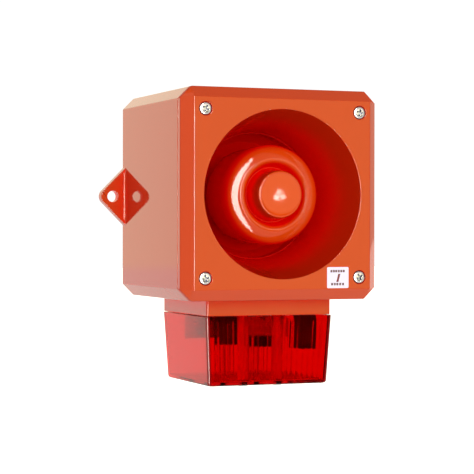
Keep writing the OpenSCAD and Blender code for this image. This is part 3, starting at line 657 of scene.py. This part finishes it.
def lens_ring(inset, drop, radius, flute=0.0):
    """Outline of the lens at one level, with flutes in its front if asked for."""
    lean = LENS_LEAN * (drop - LENS_TOP) / LENS_HEIGHT + inset
    left, right = -LENS_HALF + lean, LENS_HALF - lean
    back, front = LENS_BACK + lean, LENS_FRONT - lean
    points = []
    rounded = rounded_rectangle(left, back, right, front, radius)
    count = LENS_FLUTES * FLUTE_STEPS
    run = (right - left - 2 * radius - 2) / 2
    for i, point in enumerate(rounded):
        points.append(point)
        next_point = rounded[(i + 1) % len(rounded)]
        long_side = abs(next_point[0] - point[0]) > 50
        if long_side:
            direction = math.copysign(1, next_point[0] - point[0])
            is_front = point[1] > (back + front) / 2
            for step in range(count + 1):
                x = direction * run * (2 * step / count - 1)
                depth = flute * abs(math.sin(math.pi * step / FLUTE_STEPS)) if is_front else 0.0
                points.append((x, point[1] + depth))
    return [on_beacon(a, b, drop) for a, b in points]


def make_lens():
    """Hollow lens: the outside going down, and the fluted inside coming back up to the rim."""
    bottom = LENS_TOP + LENS_HEIGHT
    wall = LENS_WALL
    outside = [(0.35, LENS_TOP), (0, LENS_TOP + 0.5), (0, bottom - 2.2)]
    outside += [(0.25, bottom - 1.1), (0.9, bottom - 0.35), (2.0, bottom)]
    inside = [(wall + 1.5, bottom - wall, 0), (wall + 0.35, bottom - wall - 0.5, 0)]
    inside += [(wall, bottom - wall - 1.6, FLUTE_DEPTH), (wall, LENS_TOP + 6, FLUTE_DEPTH)]
    inside += [(wall, LENS_TOP + 3, 0), (wall, LENS_TOP + 0.5, 0), (wall - 0.3, LENS_TOP, 0)]
    bm = bmesh.new()
    outer_rings = [lens_ring(inset, drop, LENS_OUTER_CORNER) for inset, drop in outside]
    inner_rings = [lens_ring(inset, drop, LENS_INNER_CORNER, flute) for inset, drop, flute in inside]
    outer = [[bm.verts.new(point) for point in ring] for ring in outer_rings]
    inner = [[bm.verts.new(point) for point in ring] for ring in inner_rings]
    for shell in (outer, inner):
        for lower, upper in zip(shell, shell[1:]):
            bridge(bm, lower, upper)
    bm.faces.new(outer[-1])
    bm.faces.new(list(reversed(inner[0])))
    bridge(bm, inner[-1], outer[0])
    lens = make_object("lens_moulding", bm, "lens", ["beacon_lens"])
    seat = bottom - HEAD_SINK
    end = bottom - LENS_HOLE_DEPTH
    profile = ((0, end), (LENS_HOLE_RADIUS, end), (LENS_HOLE_RADIUS, seat))
    profile += ((LENS_HEAD_ROOM, seat), (LENS_HEAD_ROOM, bottom + 1), (0, bottom + 1))
    holes = []
    for centre in LENS_SCREWS_AT:
        holes.append(make_object("screw_hole", lathed(profile, on_beacon, centre, 40), None))
    combine(lens, holes, "DIFFERENCE")
    finish_piece(lens, "red_lens")
    lens.data.polygons.foreach_set("use_smooth", [True] * len(lens.data.polygons))
    flatten_shading(lens)


def make_label_print():
    """Plain grey bars and one slanted red bar in place of the printing on the label."""
    left, low = LABEL_AT[0] - LABEL_SIZE[0] / 2, LABEL_AT[1] - LABEL_SIZE[1] / 2
    bars = []
    for up, starts in ((12.4, (2.9, 5.0, 7.0, 9.2, 11.4, 13.5)), (2.2, (3.4, 5.8, 8.0, 10.4, 12.9))):
        for start in starts:
            end = start + MARK_WIDTH
            top = up + MARK_HEIGHT
            bars.append(((start, up), (end, up), (end, top), (start, top)))
    slanted = ((7.9, 4.9), (9.7, 4.9), (11.4, 11.2), (9.6, 11.2))
    for i, (mark_shape, ink) in enumerate([(bar, "grey_ink") for bar in bars] + [(slanted, "red_ink")]):
        outline = [(left + a, low + b) for a, b in mark_shape]
        shape = extruded(outline, FRONT_FACE + INK_BACK, FRONT_FACE + INK_FRONT)
        mark = make_object(f"label_mark_{i + 1}", shape, "cover")
        finish_piece(mark, ink)


def make_lug_fillets():
    """Small concave rounds where the wall lugs meet the sides of the enclosure."""
    radius = 1.6
    reach = 19.5
    buried = 0.3
    steps = 6
    for side, name in ((-1, "left"), (1, "right")):
        profile = [(HALF_BOX - buried, LUG_THICKNESS - buried), (HALF_BOX + radius, LUG_THICKNESS - buried)]
        for step in range(steps + 1):
            turn = math.radians(270 - 90 * step / steps)
            x = HALF_BOX + radius + radius * math.cos(turn)
            out = LUG_THICKNESS + radius + radius * math.sin(turn)
            profile.append((x, out))
        profile.append((HALF_BOX - buried, LUG_THICKNESS + radius))
        ends = [[on_unit(side * x, up, out) for x, out in profile] for up in (-reach, reach)]
        fillet = make_object(f"lug_fillet_{name}", lofted(ends), "base")
        flatten_shading(fillet)
        finish_piece(fillet, "red_plastic")


def soften_mouldings():
    soften(frame["nodes"]["front_cover"], (60, 0.55, 4), (40, 0.6, 3))
    soften(frame["nodes"]["base_housing"], (40, 0.6, 4))
    soften(frame["nodes"]["beacon_housing"], (32, 0.4, 3))
    soften(frame["nodes"]["horn_bowl"], (32, 0.15, 3))


# ---- Studio ----

BANK_LEVEL = 70
FRONT_LEVEL = 1.85
BACK_LEVEL = 1.65
SHOWN_LEVEL = 1.05
CAMERA_TURN = (21.73, 0.22, 0.09)
CAMERA_PLACE = (-0.5296, -1.3810, -0.02807)
CAMERA_LENS = 131.28
CARD_AZIMUTH = -22
SPARK_DISTANCE = 1.5
# Name, azimuth, elevation, width, height and power of each.
SPARKS = (
    ("spark_top", -21.8, 2.6, 0.028, 0.026, 0.050),
    ("spark_low", -21.1, 1.55, 0.034, 0.024, 0.085),
    ("spark_side", -22.6, 1.8, 0.022, 0.020, 0.035),
)


def look_along(azimuth, elevation, roll):
    """Axes of a camera placed at this angle, turned left from the front and up, in degrees."""
    az, el = math.radians(azimuth), math.radians(elevation)
    back = Vector((-math.sin(az) * math.cos(el), -math.cos(az) * math.cos(el), math.sin(el)))
    right = Vector((math.cos(az), -math.sin(az), 0))
    up = back.cross(right)
    lean = math.radians(roll)
    tilted_right = right * math.cos(lean) + up * math.sin(lean)
    tilted_up = up * math.cos(lean) - right * math.sin(lean)
    return tilted_right, tilted_up, back


def make_camera():
    right, up, back = look_along(*CAMERA_TURN)
    data = bpy.data.cameras.new("camera")
    data.lens = CAMERA_LENS
    data.sensor_width = 36
    data.clip_end = 100
    camera = bpy.data.objects.new("camera", data)
    axes = Matrix((right, up, back)).transposed().to_4x4()
    camera.matrix_world = Matrix.Translation(CAMERA_PLACE) @ axes
    bpy.context.scene.collection.objects.link(camera)
    bpy.context.scene.camera = camera


def make_glint(name, azimuth, elevation, distance, width, height, power):
    """Rectangular light that is seen only as a highlight; azimuth turns left from the front."""
    right, up, back = look_along(azimuth, elevation, 0)
    data = bpy.data.lights.new(name, "AREA")
    data.shape = "RECTANGLE"
    data.size = width
    data.size_y = height
    data.energy = power
    data.color = (1.0, 0.93, 0.84)
    light = bpy.data.objects.new(name, data)
    axes = Matrix((right, up, back)).transposed().to_4x4()
    light.visible_diffuse = False
    light.visible_camera = False
    light.matrix_world = Matrix.Translation(back * distance + Vector((0, -0.08, -0.03))) @ axes
    bpy.context.scene.collection.objects.link(light)


def make_bank():
    """Tall strip light at the front left that leans over the unit: the long highlight on the bell."""
    steps = 8
    distance = 0.9
    height = 0.1
    for i in range(-steps, steps + 1):
        part = (i / steps) ** 2
        azimuth = 40 * (1 - part) + 14 * part
        width = 0.28 * (1 - 0.75 * part)
        power = BANK_LEVEL * width * height
        make_glint(f"bank_{i + steps + 1}", azimuth, 48 * i / steps, distance, width, height, power)


def make_sparks():
    """Three small lights whose reflections make the highlight on the middle of the bell."""
    for name, azimuth, elevation, width, height, power in SPARKS:
        make_glint(name, azimuth, elevation, SPARK_DISTANCE, width, height, power)


def make_surroundings():
    """Warm white tent: a little brighter in front, dimmer at both sides, high up and in a band low in front.

    The camera sees it plain white, also through the lens.
    """
    world = bpy.data.worlds.new("studio")
    bpy.context.scene.world = world
    world.use_nodes = True
    tree = world.node_tree
    background = tree.nodes["Background"]
    place = tree.nodes.new("ShaderNodeTexCoord")
    split = tree.nodes.new("ShaderNodeSeparateXYZ")
    tree.links.new(place.outputs["Generated"], split.inputs["Vector"])

    def ramp(output, start, end, low, high):
        made = tree.nodes.new("ShaderNodeMapRange")
        for name, value in (("From Min", start), ("From Max", end), ("To Min", low), ("To Max", high)):
            made.inputs[name].default_value = value
        tree.links.new(output, made.inputs["Value"])
        return made.outputs["Result"]

    def combined(operation, first, second):
        made = tree.nodes.new("ShaderNodeMath")
        made.operation = operation
        for socket, value in zip(made.inputs, (first, second)):
            if isinstance(value, float):
                socket.default_value = value
            else:
                tree.links.new(value, socket)
        return made.outputs["Value"]

    def mixed(factor, first, second):
        made = tree.nodes.new("ShaderNodeMixRGB")
        tree.links.new(factor, made.inputs["Fac"])
        for socket, value in zip((made.inputs["Color1"], made.inputs["Color2"]), (first, second)):
            if isinstance(value, tuple):
                socket.default_value = (*value, 1)
            else:
                tree.links.new(value, socket)
        return made.outputs["Color"]

    from_front = ramp(split.outputs["Y"], -1.0, 1.0, 0.0, 1.0)
    level = ramp(combined("POWER", from_front, 3.5), 0.0, 1.0, FRONT_LEVEL, BACK_LEVEL)
    level = combined("MULTIPLY", level, ramp(split.outputs["X"], -1.0, -0.75, 0.4, 1.0))
    in_front = ramp(split.outputs["Y"], -0.5, -0.8, 0.0, 1.0)
    below = ramp(split.outputs["Z"], -0.06, -0.15, 0.0, 0.97)
    below = combined("MULTIPLY", below, ramp(split.outputs["Z"], -0.55, -0.42, 0.0, 1.0))
    dimming = combined("SUBTRACT", 1.0, combined("MULTIPLY", in_front, below))
    level = combined("MULTIPLY", level, dimming)
    level = combined("MULTIPLY", level, ramp(split.outputs["Z"], 0.25, 0.8, 1.0, 0.25))
    level = combined("MULTIPLY", level, ramp(split.outputs["X"], 0.6, 0.95, 1.0, 0.2))

    path = tree.nodes.new("ShaderNodeLightPath")
    direct = combined("MAXIMUM", path.outputs["Is Camera Ray"], path.outputs["Is Transmission Ray"])
    shown = tree.nodes.new("ShaderNodeMix")
    tree.links.new(direct, shown.inputs["Factor"])
    tree.links.new(level, shown.inputs["A"])
    shown.inputs["B"].default_value = SHOWN_LEVEL
    tree.links.new(shown.outputs["Result"], background.inputs["Strength"])
    towards = tree.nodes.new("ShaderNodeVectorMath")
    towards.operation = "DOT_PRODUCT"
    tree.links.new(place.outputs["Generated"], towards.inputs[0])
    towards.inputs[1].default_value = look_along(CARD_AZIMUTH, 0, 0)[2]
    towards_back = ramp(split.outputs["Y"], 0.3, 0.8, 0.0, 1.0)
    fabric = mixed(towards_back, (1.0, 0.92, 0.82), (1.0, 0.97, 0.72))
    card_edge, card_middle = math.cos(math.radians(24)), math.cos(math.radians(12))
    on_card = ramp(towards.outputs["Value"], card_edge, card_middle, 0.0, 1.0)
    card = mixed(on_card, fabric, (1.0, 0.93, 0.50))
    tree.links.new(mixed(direct, card, (1.0, 1.0, 1.0)), background.inputs["Color"])


def make_floor():
    """Pale floor well below the unit that glows a little, more so behind it."""
    bm = bmesh.new()
    reach = 30
    front_edge = -1.5
    level = -0.75
    corners = [(-reach, front_edge), (reach, front_edge), (reach, reach), (-reach, reach)]
    bm.faces.new([bm.verts.new((x, y, level)) for x, y in corners])
    floor = make_object("floor", bm, None)
    nodes = Nodes("pale_floor")
    nodes.drive("Base Color", nodes.blend(nodes.noise(400), (0.86, 0.92, 0.98), (0.89, 0.95, 1.0)))
    nodes.shader.inputs["Roughness"].default_value = 0.9
    nodes.shader.inputs["Emission Color"].default_value = (1.0, 0.95, 0.86, 1)
    along = nodes.add("ShaderNodeSeparateXYZ")
    nodes.wire(nodes.place, along.inputs["Vector"])
    glow = nodes.ramp(along.outputs["Y"], 0.5, 4.0)
    nodes.drive("Emission Strength", nodes.between(glow, 0.3, 0.85))
    floor.data.materials.append(nodes.material)


dress_cad_nodes()
soften_mouldings()
make_bell()
make_screws()
make_lens()
make_label_print()
make_lug_fillets()
make_camera()
make_surroundings()
make_floor()
make_bank()
make_sparks()
bpy.context.scene.view_settings.view_transform = "Standard"
